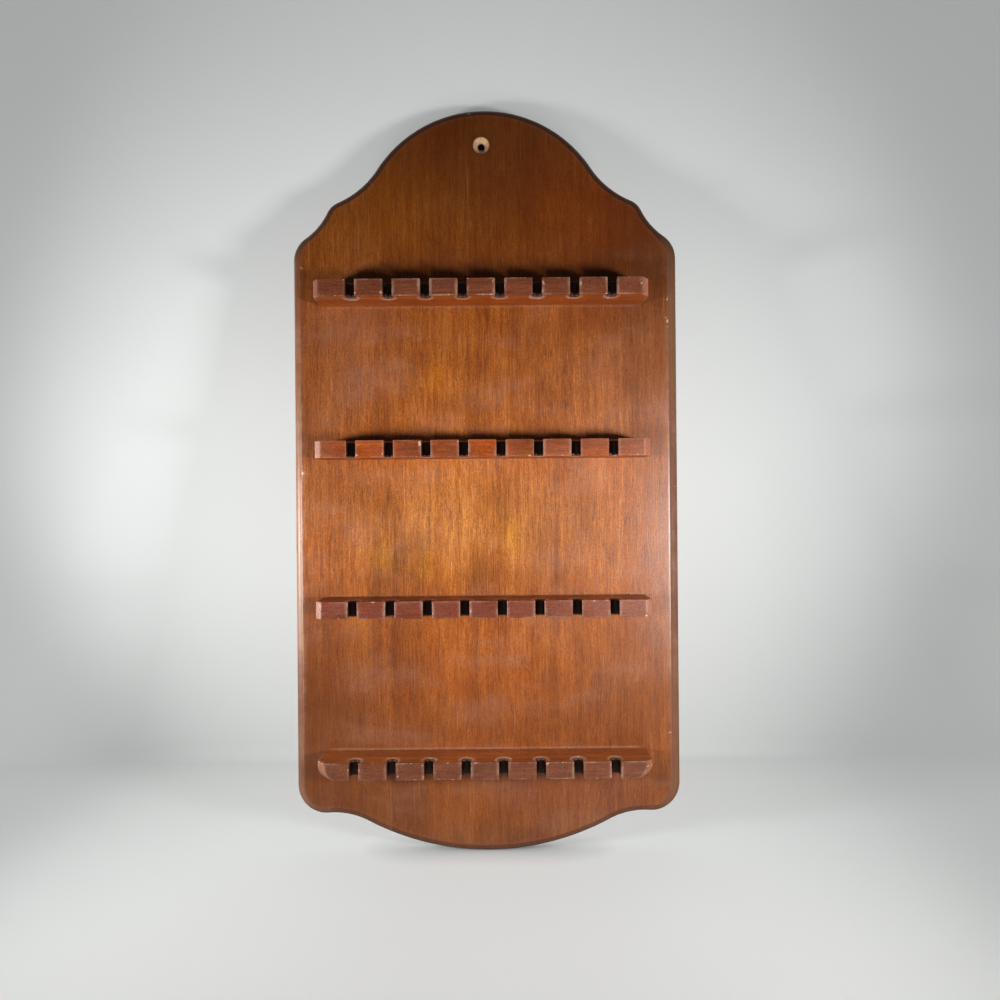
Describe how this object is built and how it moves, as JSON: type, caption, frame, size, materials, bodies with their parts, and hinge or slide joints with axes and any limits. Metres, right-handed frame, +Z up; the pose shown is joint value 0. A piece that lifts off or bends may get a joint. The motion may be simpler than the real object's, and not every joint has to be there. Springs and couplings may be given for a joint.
{
  "type": "wall spoon rack",
  "caption": "Wall-hung wooden display rack: a shaped, round-edged backboard with rows of slotted rails that hold souvenir spoons by their handles.",
  "frame": {"origin": "centre of the hanging hole on the back face of the board", "axes": "+Z up along the board, +Y out of the back face towards the wall, +X to the right as seen from the front"},
  "size_m": [0.28, 0.038, 0.542],
  "materials": {
    "board_wood": "reddish-brown stain under a worn satin varnish, with a vertical grain",
    "rail_wood": "reddish-brown stain under a worn satin varnish, rubbed pale on the edges",
    "screw_steel": "plain dulled steel"
  },
  "bodies": {
    "root": {"backboard": "board_wood", "top_rail": "rail_wood", "upper_rail": "rail_wood", "lower_rail": "rail_wood", "bottom_rail": "rail_wood", "top_rail_screws": "screw_steel", "upper_rail_screws": "screw_steel", "lower_rail_screws": "screw_steel", "bottom_rail_screws": "screw_steel"}
  },
  "joints": []
}
